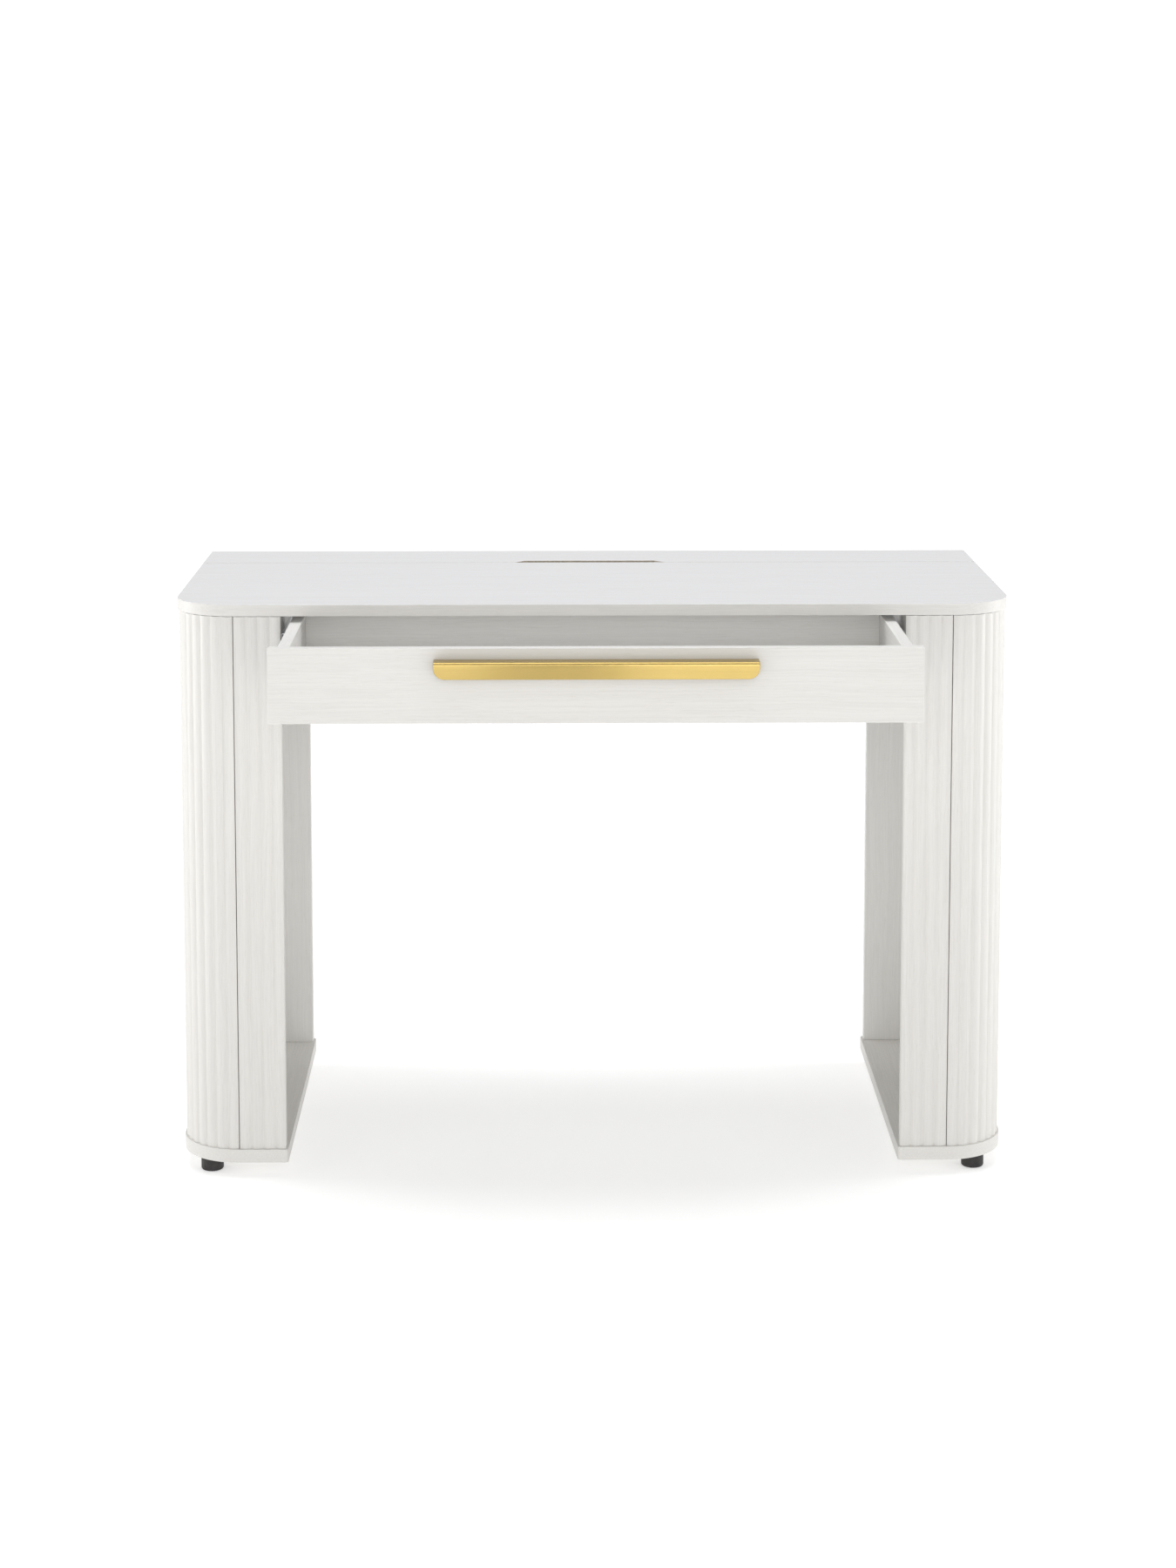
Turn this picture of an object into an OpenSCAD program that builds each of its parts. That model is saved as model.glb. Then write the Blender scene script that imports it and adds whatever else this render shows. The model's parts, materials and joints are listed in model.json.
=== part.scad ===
// Manicure table: a thin round-cornered top on two reeded pedestals, with a wide drawer between them
// on ball-bearing slides and a hinged flap over a cable trough along the rear edge.
// Frame: X to the right, Y to the rear, Z up, origin on the floor at the centre of the top.
// The drawer is drawn pulled out by drawer_pull; every other piece is drawn at rest.

/* [Overall size] */

// Width of the top
table_w = 1100; // [900:10:1300]
// Depth of the top, with the rear flap
table_d = 500; // [440:10:600]
// Height of the worktop above the floor
table_h = 770; // [720:5:800]
// Thickness of the top and of the flap
top_t = 15; // [12:1:25]
// Radius of the two front corners of the top
corner_r = 80; // [40:5:110]

/* [Rear flap] */

// Depth of the hinged flap
flap_d = 118; // [90:1:150]
// Gap between the top and the flap
flap_gap = 2; // [0.5:0.5:3]
// Width of the cable notch along the front edge of the flap
notch_w = 213; // [80:1:300]
// Depth of the cable notch
notch_d = 16; // [10:1:30]
// Length of each sloping end of the cable notch
notch_slope = 14; // [5:1:30]

/* [Pedestals] */

// Thickness of the carcass boards
board_t = 15; // [12:1:20]
// Thickness of each base plate
plate_t = 18; // [15:1:25]
// Width of the knee space between the pedestals
knee_w = 816; // [600:4:900]
// How far the base plate runs past the inner edge of its pedestal
plate_lip = 3; // [0:1:6]
// Radius of the inner vertical corners of the base plate
plate_corner = 4; // [1:1:10]
// Set-back of the reed crests from the edge of the top
skin_set = 2; // [0:1:6]
// Greatest thickness of the reeded skin
skin_t = 8; // [6:1:12]
// Distance from one reed to the next
reed_pitch = 16; // [8:1:24]
// Height of each reed above its grooves
reed_h = 2; // [1:0.1:4]
// Dark gap between the front stile and the curved skin
seam_w = 1; // [0.8:0.2:3]
// Shadow gap between the reeded boards and the top
shadow_gap = 1; // [0.5:0.5:3]
// Set-back of the rear faces from the rear edge of the flap
rear_set = 8; // [6:1:15]

/* [Feet] */

// Height of the feet
foot_h = 21; // [10:1:60]
// Radius of the feet
foot_r = 15; // [10:1:25]
// Distance from the table's centre to a foot along X
foot_x = 510; // [400:5:600]
// Distance from the table's centre to a foot along Y
foot_y = 210; // [150:5:250]

/* [Drawer] */

// Distance the drawer is drawn pulled out
drawer_pull = 230; // [0:1:290]
// Height of the drawer front
front_h = 94; // [80:1:140]
// Gap on each side of the drawer front
front_side_gap = 4; // [2:0.5:6]
// Gap between the drawer front and the top
front_top_gap = 3; // [2:0.5:6]
// Length of the drawer sides
side_l = 293; // [280:1:340]
// Height of the drawer sides
side_h = 80; // [70:1:120]
// How far the drawer sides stop below the top of the front
side_drop = 5; // [0:1:20]
// Thickness of the drawer bottom
bottom_t = 5; // [3:1:8]
// Height of the drawer bottom above the lower edge of the sides
bottom_lift = 10; // [6:1:20]
// Depth of the groove that holds the drawer bottom
groove_d = 7; // [5:0.5:9]

/* [Handle] */

// Length of the handle
handle_w = 400; // [200:10:600]
// Projection of the handle from the drawer front
handle_d = 24; // [18:1:40]
// Height of the front lip of the handle
lip_h = 21; // [14:1:30]
// Height of the rear flange of the handle
flange_h = 16; // [12:1:25]
// Thickness of the handle's sheet
handle_t = 2.5; // [1.5:0.5:4]
// Radius of the lower corners of the front lip
lip_corner = 14; // [3:1:18]
// Distance from the top of the drawer front down to the handle
handle_drop = 14; // [5:1:40]

/* [Slides] */

// Space between a drawer side and its apron
slide_gap = 13; // [12.7:0.1:14]
// Length of each slide member
slide_l = 290; // [250:10:400]
// Sheet thickness of the slide members
slide_t = 1.2; // [1:0.1:1.5]
// Radius of the balls in the slides
ball_r = 1.75; // [1.5:0.05:1.85]

/* [Hinges] */

// Width of each hinge
hinge_w = 60; // [40:5:80]
// Length of each hinge leaf
leaf_l = 25.5; // [20:0.5:40]
// Thickness of the hinge leaves
leaf_t = 1.5; // [1:0.1:2]
// Outer radius of the hinge knuckles
knuckle_r = 3; // [2.5:0.1:4]
// Radius of the hinge pins
pin_r = 1.25; // [1:0.05:2]

/* [Hidden] */

// Small overrun that lets a cutting solid pass right through a face
over = 1;
// Clearance on the radius of dowels and screws in their bores
fit = 0.05;
// Free depth past the end of a dowel or a screw
end_gap = 0.5;
white = [0.88, 0.87, 0.85];
raw_board = [0.80, 0.78, 0.74];
gold = [0.78, 0.62, 0.40];
steel = [0.68, 0.69, 0.70];
black = [0.06, 0.06, 0.06];
beech = [0.80, 0.66, 0.46];

// Main planes of the table
half_w = table_w / 2;
front_y = -table_d / 2;
rear_y = table_d / 2;
under_z = table_h - top_t;
corner_x = half_w - corner_r;
corner_y = front_y + corner_r;
seam_y = rear_y - flap_d;
top_rear_y = seam_y - flap_gap / 2;
flap_front_y = seam_y + flap_gap / 2;
knee_x = knee_w / 2;

// Reeded skin, drawn for the right side
crest_r = corner_r - skin_set;
valley_r = crest_r - reed_h;
skin_in_r = crest_r - skin_t;
crest_y = corner_y - crest_r;
stile_rear_y = crest_y + board_t;
skin_in_x = corner_x + skin_in_r;
board_top_z = under_z - shadow_gap;
plate_top_z = foot_h + plate_t;
board_h = board_top_z - plate_top_z;
panel_rear_y = rear_y - rear_set;
panel_front_y = panel_rear_y - board_t;
panel_in_x = skin_in_x - board_t;
plate_rear_set = 3;
plate_rear_y = rear_y - plate_rear_set;
plate_in_x = knee_x - plate_lip;

// Half the width of the post behind the seam
post_half = 18;

// Reeds round the corner, one that bridges to the side, and the rest along the side
reed_a = reed_pitch / crest_r * 180 / PI;
corner_reeds = floor(90 / reed_a);
corner_chord = 2 * valley_r * sin(reed_a / 2);
corner_sag = crest_r - valley_r * cos(reed_a / 2);
last_a = corner_reeds * reed_a;
bridge_y = corner_y + reed_pitch - (90 - last_a) * PI / 180 * crest_r;
bridge_a = [corner_x + valley_r * sin(last_a), corner_y - valley_r * cos(last_a)];
bridge_b = [corner_x + valley_r, bridge_y];
bridge_mid = (bridge_a + bridge_b) / 2;
bridge_chord = norm(bridge_b - bridge_a);
bridge_n = [bridge_b[1] - bridge_a[1], bridge_a[0] - bridge_b[0]] / bridge_chord;
bridge_sag = corner_x + crest_r - bridge_mid[0];
side_reeds = round((panel_rear_y - bridge_y) / reed_pitch);
side_pitch = (panel_rear_y - bridge_y) / side_reeds;
stile_out_x = corner_x - seam_w / 2;
stile_reeds = floor((corner_x - knee_x) / reed_pitch);
stile_rest = corner_x - knee_x - (stile_reeds * reed_pitch);

// Aprons, rail and cable trough
apron_h = 100;
apron_z = under_z - apron_h;
apron_out_x = knee_x + board_t;
trough_lip = 2;
trough_z = apron_z - trough_lip;
trough_floor_t = 12;
bumper_r = 4;
bumper_h = 1.5;
bumper_gap = 0.3;
rest_z = under_z - bumper_h - bumper_gap;
divider_front_y = top_rear_y - board_t;
ledger_h = 20;
ledger_in_x = 110;
exit_w = 80;
exit_d = 40;
exit_y = (top_rear_y + panel_front_y) / 2;

// Drawer, as drawn pulled out
face_y = crest_y - drawer_pull;
front_back_y = face_y + board_t;
front_w = knee_w - 2 * front_side_gap;
front_top_z = under_z - front_top_gap;
front_z = front_top_z - front_h;
side_out_x = knee_x - slide_gap;
side_in_x = side_out_x - board_t;
side_top_z = front_top_z - side_drop;
side_z = side_top_z - side_h;
side_rear_y = front_back_y + side_l;
bottom_z = side_z + bottom_lift;
groove_play = 0.3;
groove_h = bottom_t + groove_play;
bottom_slack = 0.5;
handle_top_z = front_top_z - handle_drop;
handle_bend = 4;
handle_bend_in = handle_bend - handle_t;
handle_screw_x = [-160, 0, 160];
handle_screw_z = handle_top_z - 8;
handle_screw_r = 2;
handle_screw_play = 0.2;
handle_head_r = 4;
handle_head_h = 2.5;
recess_l = 4.4;
recess_w = 1;
recess_d = 1;
front_dowel_z = [side_z + 25, side_top_z - 20];
front_dowel_in = 8;
front_dowel_back = 16;
corner_screw_z = [side_z + 21, side_top_z - 12];
corner_screw_r = 2.2;
corner_screw_in = 30;
corner_head_r = 4;
corner_head_h = 2;

// Slides
slide_z = side_z + side_h / 2;
slide_rear_y = stile_rear_y + 1 + slide_l;
middle_rear_y = slide_rear_y - drawer_pull / 2;
member_rear_y = slide_rear_y - drawer_pull;
cabinet_half = 22.5;
middle_half = 17.5;
member_half = 12.5;
middle_web_x = knee_x - slide_t - 0.5;
flange_in_x = knee_x - 9.5;
middle_flange_x = knee_x - 9;
member_flange_x = side_out_x + 8.4;
slide_screw_dy = [-30, -145, -260];
screw_head_r = 3.4;
screw_r = 1.75;
screw_l = 12;
outer_race = (cabinet_half - slide_t + middle_half) / 2;
inner_race = (middle_half - slide_t + member_half) / 2;
outer_ball_x = knee_x - slide_t - 3.6;
inner_ball_x = member_flange_x - 2.8;
balls_per_race = 5;
ball_step = 30;
ball_end = 12;

// Hinges of the flap
hinge_x = [-360, 0, 360];
axis_set = 3.5;
axis_y = panel_rear_y + axis_set;
axis_z = under_z - axis_set;
knuckles = 5;
knuckle_l = hinge_w / knuckles;
knuckle_gap = 0.4;
leaf_screw_dx = [-20, 0, 20];
leaf_screw_d = 17;
leaf_head_r = 3;
leaf_shank_r = 1.5;
leaf_screw_in = 9;
leaf_pilot_l = 10;
head_fit = 0.02;
moving_fit = 0.06;
pin_end = 0.5;
cut_over = 0.01;

// Fastener places: distance from the centre plane and Y
cam_y = [-190, -40, 95];
cam_z = under_z - 24;
cam_r = 7.5;
cam_l = 12.3;
cam_gap = 0.2;
cam_hollow_r = 3.7;
cam_hollow_low = 3;
cam_slot_l = 9;
cam_slot_w = 1.6;
cam_slot_d = 2;
bolt_head_r = 3.5;
bolt_head_low = 2.5;
bolt_head_h = 3;
bolt_neck_r = 2;
bolt_collar_z = cam_z + 7;
bolt_bore_r = 3.6;
bolt_thread_r = 2.5;
bolt_thread_l = 10;
apron_mid_x = knee_x + board_t / 2;
panel_mid_x = panel_in_x + board_t / 2;
divider_mid_y = divider_front_y + board_t / 2;
dowel_r = 4;
dowel_l = 25;
dowel_up = 10;
dowel_xy = [[apron_mid_x, -115], [apron_mid_x, 30], [panel_mid_x, -120], [panel_mid_x, 80],
    [250, divider_mid_y]];
back_mid_y = panel_front_y + board_t / 2;
base_xy = [[panel_mid_x, -100], [panel_mid_x, 20], [panel_mid_x, 140], [435, back_mid_y],
    [505, back_mid_y], [430, stile_rear_y - board_t / 2 + 1], [461, stile_rear_y + 7]];
base_screw_l = 50;
base_head_r = 5;
base_head_h = 2.5;
base_key_r = 2.3;
base_key_d = 1.8;
base_screw_r = 2.4;
foot_stud_r = 3;
foot_stud_in = 8;
foot_stud_z = foot_h - foot_stud_in;
foot_stud_l = 22;
foot_bore_l = foot_stud_l - foot_stud_in + 3 * end_gap;
bumper_xy = [[200, flap_front_y + 8], [380, flap_front_y + 8], [200, back_mid_y]];

// Radius of a reed with the given chord and height
function reed_r(chord, rise) = (chord * chord / 4 + rise * rise) / (2 * rise);

module both_sides() {
    children();
    mirror([1, 0, 0]) children();
}

// Cylinder along X from x0 to x1
module rod_x(r, x0, x1, y, z) {
    translate([x0, y, z]) rotate([0, 90, 0]) cylinder(r = r, h = x1 - x0);
}

// Cylinder along Y from y0 to y1
module rod_y(r, x, y0, y1, z) {
    translate([x, y0, z]) rotate([-90, 0, 0]) cylinder(r = r, h = y1 - y0);
}

// Upright board between two corners of its plan
module board(x0, x1, y0, y1, z0, z1) {
    translate([x0, y0, z0]) cube([x1 - x0, y1 - y0, z1 - z0]);
}

// Extrusion along Y of a profile drawn in X and Z
module along_y(y0, y1) {
    translate([0, y1, 0]) rotate([90, 0, 0]) linear_extrude(y1 - y0) children();
}

// ---------- top and flap ----------

module top_outline() {
    translate([-corner_x, front_y]) square([2 * corner_x, top_rear_y - front_y]);
    translate([-half_w, corner_y]) square([table_w, top_rear_y - corner_y]);
    for (s = [-1, 1]) translate([s * corner_x, corner_y]) circle(r = corner_r);
}

module top_bores() {
    both_sides() {
        for (p = dowel_xy) {
            translate([p[0], p[1], under_z - over])
                cylinder(r = dowel_r + fit, h = dowel_up + end_gap + over);
        }
        for (y = cam_y) translate([apron_mid_x, y, under_z - over])
            cylinder(r = bolt_thread_r + fit, h = bolt_thread_l + 2 * end_gap + over);
    }
}

module tabletop() {
    color(white) difference() {
        translate([0, 0, under_z]) linear_extrude(top_t) top_outline();
        top_bores();
    }
}

module notch_outline() {
    polygon([[-notch_w / 2, flap_front_y - over], [-notch_w / 2, flap_front_y],
        [-notch_w / 2 + notch_slope, flap_front_y + notch_d],
        [notch_w / 2 - notch_slope, flap_front_y + notch_d],
        [notch_w / 2, flap_front_y], [notch_w / 2, flap_front_y - over]]);
}

module flap_board() {
    color(white) difference() {
        board(-half_w, half_w, flap_front_y, rear_y, under_z, table_h);
        translate([0, 0, under_z - over]) linear_extrude(top_t + 2 * over) notch_outline();
        for (x = hinge_x, dx = leaf_screw_dx) {
            translate([x + dx, axis_y - leaf_screw_d, under_z - over])
                cylinder(r = leaf_shank_r + fit, h = leaf_pilot_l + over);
        }
    }
}

// ---------- pedestals, drawn on the right ----------

module plate_outline() {
    difference() {
        union() {
            translate([plate_in_x, front_y]) square([corner_x - plate_in_x, plate_rear_y - front_y]);
            translate([corner_x, corner_y]) square([corner_r, plate_rear_y - corner_y]);
            intersection() {
                translate([corner_x, corner_y]) circle(r = corner_r);
                translate([corner_x - over, front_y]) square([corner_r + over, corner_r]);
            }
        }
        for (y = [front_y, plate_rear_y - plate_corner]) {
            translate([plate_in_x - over, y]) square([plate_corner + over, plate_corner]);
        }
        translate([plate_in_x - over, front_y - over]) square([plate_corner + over, over]);
        translate([plate_in_x - over, plate_rear_y]) square([plate_corner + over, over]);
    }
    for (y = [front_y + plate_corner, plate_rear_y - plate_corner]) {
        translate([plate_in_x + plate_corner, y]) circle(r = plate_corner);
    }
}

module base_plate() {
    color(white) difference() {
        translate([0, 0, foot_h]) linear_extrude(plate_t) plate_outline();
        for (p = base_xy) {
            translate([p[0], p[1], foot_h - over]) cylinder(r = base_head_r + fit, h = base_head_h + over);
            translate([p[0], p[1], foot_h]) cylinder(r = base_screw_r + fit, h = plate_t + over);
        }
        for (s = [-1, 1]) {
            translate([foot_x, s * foot_y, foot_h - over])
                cylinder(r = foot_stud_r + fit, h = foot_bore_l + over);
        }
    }
}

module base_screw_bores() {
    for (p = base_xy) {
        translate([p[0], p[1], foot_h]) cylinder(r = base_screw_r + fit, h = base_screw_l + end_gap);
    }
}

module lower_dowel_bores() {
    for (p = dowel_xy) {
        translate([p[0], p[1], under_z - dowel_l + dowel_up - end_gap])
            cylinder(r = dowel_r + fit, h = dowel_l);
    }
}

module side_panel() {
    color(white) difference() {
        union() {
            board(panel_in_x, skin_in_x, corner_y, panel_front_y, plate_top_z, board_top_z);
            board(panel_in_x, skin_in_x, corner_y, top_rear_y, board_top_z, under_z);
        }
        base_screw_bores();
        lower_dowel_bores();
    }
}

module reed(chord, rise) {
    translate([0, rise - reed_r(chord, rise)]) circle(r = reed_r(chord, rise));
}

module skin_outline() {
    difference() {
        union() {
            translate([corner_x, corner_y]) circle(r = valley_r);
            translate([corner_x, corner_y]) square([valley_r, panel_rear_y - corner_y]);
            for (i = [0 : corner_reeds - 1]) {
                translate([corner_x, corner_y]) rotate(180 + (i + 0.5) * reed_a)
                    translate([0, crest_r - corner_sag]) reed(corner_chord, corner_sag);
            }
            translate(bridge_mid + bridge_n * (bridge_sag - reed_r(bridge_chord, bridge_sag)))
                circle(r = reed_r(bridge_chord, bridge_sag));
            for (i = [0 : side_reeds - 1]) {
                translate([corner_x + valley_r, bridge_y + (i + 0.5) * side_pitch]) rotate(-90)
                    reed(side_pitch, reed_h);
            }
        }
        translate([corner_x, corner_y]) circle(r = skin_in_r);
        translate([corner_x, corner_y]) square([skin_in_r, table_d]);
        translate([0, front_y - over]) square([corner_x + seam_w / 2, table_d + 2 * over]);
        translate([0, panel_rear_y]) square([half_w + over, table_d]);
    }
}

module reeded_shell() {
    color(white) translate([0, 0, plate_top_z]) linear_extrude(board_h) skin_outline();
}

module stile_outline() {
    intersection() {
        translate([knee_x, crest_y]) square([stile_out_x - knee_x, board_t]);
        union() {
            translate([knee_x, crest_y + reed_h]) square([stile_out_x - knee_x, board_t - reed_h]);
            for (i = [0 : stile_reeds - 1]) {
                translate([corner_x - (i + 0.5) * reed_pitch, crest_y + reed_h]) rotate(180)
                    reed(reed_pitch, reed_h);
            }
            translate([knee_x + stile_rest / 2, crest_y + reed_h]) rotate(180) reed(stile_rest, reed_h);
        }
    }
}

module front_stile() {
    color(white) difference() {
        translate([0, 0, plate_top_z]) linear_extrude(board_h) stile_outline();
        base_screw_bores();
    }
}

module back_panel() {
    color(white) difference() {
        board(knee_x, skin_in_x, panel_front_y, panel_rear_y, plate_top_z, board_top_z);
        base_screw_bores();
    }
}

module post_outline() {
    translate([corner_x - post_half, stile_rear_y]) square([post_half, board_t]);
    intersection() {
        translate([corner_x, corner_y]) circle(r = skin_in_r);
        translate([corner_x, crest_y]) square([post_half, 2 * board_t]);
    }
}

module corner_post() {
    color(white) difference() {
        translate([0, 0, plate_top_z]) linear_extrude(under_z - plate_top_z) post_outline();
        base_screw_bores();
    }
}

module rib_outline() {
    difference() {
        intersection() {
            translate([corner_x, corner_y]) circle(r = skin_in_r);
            translate([corner_x, corner_y - corner_r]) square([corner_r, corner_r]);
        }
        translate([corner_x - over, corner_y - corner_r])
            square([post_half + over, stile_rear_y + board_t - corner_y + corner_r]);
    }
}

module corner_ribs() {
    rib_z = [plate_top_z, (plate_top_z + under_z - board_t) / 2, under_z - board_t];
    color(white) for (z = rib_z) translate([0, 0, z]) linear_extrude(board_t) rib_outline();
}

module apron() {
    color(white) difference() {
        union() {
            board(knee_x, apron_out_x, stile_rear_y, panel_front_y, apron_z, rest_z);
            board(knee_x, apron_out_x, stile_rear_y, top_rear_y, rest_z, under_z);
        }
        for (y = cam_y) {
            rod_x(cam_r, apron_out_x - cam_l - cam_gap, apron_out_x + over, y, cam_z);
            translate([apron_mid_x, y, cam_z]) cylinder(r = bolt_bore_r, h = apron_h);
        }
        lower_dowel_bores();
        for (dy = slide_screw_dy) {
            rod_x(screw_r + fit, knee_x - over, knee_x + screw_l + end_gap, slide_rear_y + dy, slide_z);
        }
    }
}

// ---------- rear rail and cable trough ----------

module back_rail() {
    color(white) difference() {
        board(-knee_x, knee_x, panel_front_y, panel_rear_y, trough_z, rest_z);
        for (x = hinge_x, dx = leaf_screw_dx) {
            rod_y(leaf_shank_r + fit, x + dx, panel_rear_y - leaf_pilot_l, panel_rear_y + over,
                axis_z - leaf_screw_d);
        }
    }
}

module trough_divider() {
    color(white) difference() {
        board(-knee_x, knee_x, divider_front_y, top_rear_y, trough_z, under_z);
        both_sides() lower_dowel_bores();
    }
}

module exit_outline() {
    flat = (exit_w - exit_d) / 2;
    translate([-flat, exit_y - exit_d / 2]) square([2 * flat, exit_d]);
    for (s = [-1, 1]) translate([s * flat, exit_y]) circle(r = exit_d / 2);
}

module trough_floor() {
    color(white) translate([0, 0, trough_z]) linear_extrude(trough_floor_t) difference() {
        translate([-knee_x, top_rear_y]) square([knee_w, panel_front_y - top_rear_y]);
        exit_outline();
    }
}

module flap_ledgers() {
    color(raw_board) both_sides() {
        board(ledger_in_x, knee_x, top_rear_y, top_rear_y + board_t, rest_z - ledger_h, rest_z);
    }
}

module flap_bumpers() {
    color(black) both_sides() for (p = bumper_xy) {
        translate([p[0], p[1], rest_z]) cylinder(r = bumper_r, h = bumper_h);
    }
}

// ---------- feet and fasteners ----------

module feet() {
    color(black) for (sx = [-1, 1], sy = [-1, 1]) translate([sx * foot_x, sy * foot_y, 0]) difference() {
        cylinder(r = foot_r, h = foot_h);
        translate([0, 0, foot_stud_z]) cylinder(r = foot_stud_r + fit, h = foot_h);
    }
}

module foot_studs() {
    color(steel) for (sx = [-1, 1], sy = [-1, 1]) {
        translate([sx * foot_x, sy * foot_y, foot_stud_z]) cylinder(r = foot_stud_r, h = foot_stud_l);
    }
}

module base_screws() {
    color(steel) both_sides() for (p = base_xy) translate([p[0], p[1], foot_h]) {
        difference() {
            cylinder(r = base_head_r, h = base_head_h);
            translate([0, 0, -over]) cylinder(r = base_key_r, h = base_key_d + over, $fn = 6);
        }
        cylinder(r = base_screw_r, h = base_screw_l);
    }
}

module top_dowels() {
    color(beech) both_sides() for (p = dowel_xy) {
        translate([p[0], p[1], under_z - dowel_l + dowel_up]) cylinder(r = dowel_r, h = dowel_l);
    }
}

module cam_locks() {
    color(steel) both_sides() for (y = cam_y) difference() {
        rod_x(cam_r - fit, apron_out_x - cam_l, apron_out_x, y, cam_z);
        translate([apron_mid_x, y, cam_z - cam_hollow_low])
            cylinder(r = cam_hollow_r, h = cam_hollow_low + cam_r + over);
        for (a = [0, 90]) translate([apron_out_x - cam_slot_d, y, cam_z]) rotate([a, 0, 0])
            translate([0, -cam_slot_l / 2, -cam_slot_w / 2])
                cube([cam_slot_d + over, cam_slot_l, cam_slot_w]);
    }
}

module cam_bolts() {
    color(steel) both_sides() for (y = cam_y) translate([apron_mid_x, y, 0]) {
        translate([0, 0, cam_z - bolt_head_low]) cylinder(r = bolt_head_r, h = bolt_head_h);
        translate([0, 0, cam_z]) cylinder(r = bolt_neck_r, h = bolt_collar_z - cam_z + over);
        translate([0, 0, bolt_collar_z]) cylinder(r = bolt_head_r, h = under_z - bolt_collar_z);
        translate([0, 0, under_z - over]) cylinder(r = bolt_thread_r, h = bolt_thread_l + over);
    }
}

// ---------- drawer slides, drawn on the right ----------

// Channel with its web at web_x and flanges that run to flange_x, open towards flange_x
module channel(web_x, flange_x, half, y0, y1) {
    side = sign(flange_x - web_x);
    along_y(y0, y1) for (z = [-half, half - slide_t]) {
        translate([min(web_x, flange_x), slide_z + z]) square([abs(flange_x - web_x), slide_t]);
    }
    along_y(y0, y1) translate([min(web_x, web_x + side * slide_t), slide_z - half])
        square([slide_t, 2 * half]);
}

module slide_cabinet_member() {
    color(steel) difference() {
        channel(knee_x, flange_in_x, cabinet_half, slide_rear_y - slide_l, slide_rear_y);
        for (dy = slide_screw_dy) {
            rod_x(screw_head_r + fit, knee_x - 2 * slide_t, knee_x + over, slide_rear_y + dy, slide_z);
        }
    }
}

module slide_cabinet_screws() {
    color(steel) both_sides() for (dy = slide_screw_dy) {
        rod_x(screw_head_r, knee_x - slide_t, knee_x, slide_rear_y + dy, slide_z);
        rod_x(screw_r, knee_x - slide_t, knee_x + screw_l, slide_rear_y + dy, slide_z);
    }
}

module slide_middle_member() {
    color(steel) channel(middle_web_x, middle_flange_x, middle_half, middle_rear_y - slide_l, middle_rear_y);
}

module slide_balls() {
    color(steel) for (i = [0 : balls_per_race - 1], s = [-1, 1]) {
        translate([outer_ball_x, middle_rear_y - ball_end - i * ball_step, slide_z + s * outer_race])
            sphere(r = ball_r);
        translate([inner_ball_x, middle_rear_y - slide_l + ball_end + i * ball_step,
            slide_z + s * inner_race]) sphere(r = ball_r);
    }
}

module slide_drawer_member() {
    color(steel) difference() {
        channel(side_out_x, member_flange_x, member_half, member_rear_y - slide_l, member_rear_y);
        for (dy = slide_screw_dy) {
            rod_x(screw_head_r + fit, side_out_x - over, side_out_x + 2 * slide_t,
                member_rear_y + dy, slide_z);
        }
    }
}

module slide_drawer_screws() {
    color(steel) both_sides() for (dy = slide_screw_dy) {
        rod_x(screw_head_r, side_out_x, side_out_x + slide_t, member_rear_y + dy, slide_z);
        rod_x(screw_r, side_out_x - screw_l, side_out_x + slide_t, member_rear_y + dy, slide_z);
    }
}

// ---------- flap hinges ----------

module leaf_screws(x) {
    for (dx = leaf_screw_dx) translate([x + dx, 0, 0]) {
        cylinder(r = leaf_head_r, h = leaf_t);
        cylinder(r = leaf_shank_r, h = leaf_t + leaf_screw_in);
    }
}

module knuckle_row(x, first, bore_r) {
    for (i = [first : 2 : knuckles - 1]) {
        x0 = x - hinge_w / 2 + i * knuckle_l;
        difference() {
            rod_x(knuckle_r, x0 + knuckle_gap / 2, x0 + knuckle_l - knuckle_gap / 2, axis_y, axis_z);
            rod_x(bore_r, x0 - over, x0 + knuckle_l + over, axis_y, axis_z);
        }
    }
}

module knuckle_cuts(x, first) {
    for (i = [first : 2 : knuckles - 1]) {
        x0 = x - hinge_w / 2 + i * knuckle_l;
        rod_x(knuckle_r + knuckle_gap, x0 - cut_over, x0 + knuckle_l + cut_over, axis_y, axis_z);
    }
}

module hinge_fixed_leaves() {
    color(steel) for (x = hinge_x) {
        difference() {
            board(x - hinge_w / 2, x + hinge_w / 2, panel_rear_y, panel_rear_y + leaf_t,
                axis_z - leaf_l, axis_z);
            knuckle_cuts(x, 1);
            rod_x(pin_r + head_fit, x - hinge_w, x + hinge_w, axis_y, axis_z);
            for (dx = leaf_screw_dx) {
                rod_y(leaf_head_r + head_fit, x + dx, panel_rear_y - over, rear_y, axis_z - leaf_screw_d);
            }
        }
        knuckle_row(x, 0, pin_r + head_fit);
    }
}

module hinge_fixed_screws() {
    color(steel) for (x = hinge_x) {
        translate([0, panel_rear_y + leaf_t, axis_z - leaf_screw_d]) rotate([90, 0, 0]) leaf_screws(x);
    }
}

module hinge_pins() {
    color(steel) for (x = hinge_x)
        rod_x(pin_r, x - hinge_w / 2 - pin_end, x + hinge_w / 2 + pin_end, axis_y, axis_z);
}

module hinge_flap_leaves() {
    color(steel) for (x = hinge_x) {
        difference() {
            board(x - hinge_w / 2, x + hinge_w / 2, axis_y - leaf_l, axis_y, under_z - leaf_t, under_z);
            knuckle_cuts(x, 0);
            for (dx = leaf_screw_dx) {
                translate([x + dx, axis_y - leaf_screw_d, axis_z])
                    cylinder(r = leaf_head_r + head_fit, h = axis_set + over);
            }
        }
        knuckle_row(x, 1, pin_r + moving_fit);
    }
}

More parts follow.
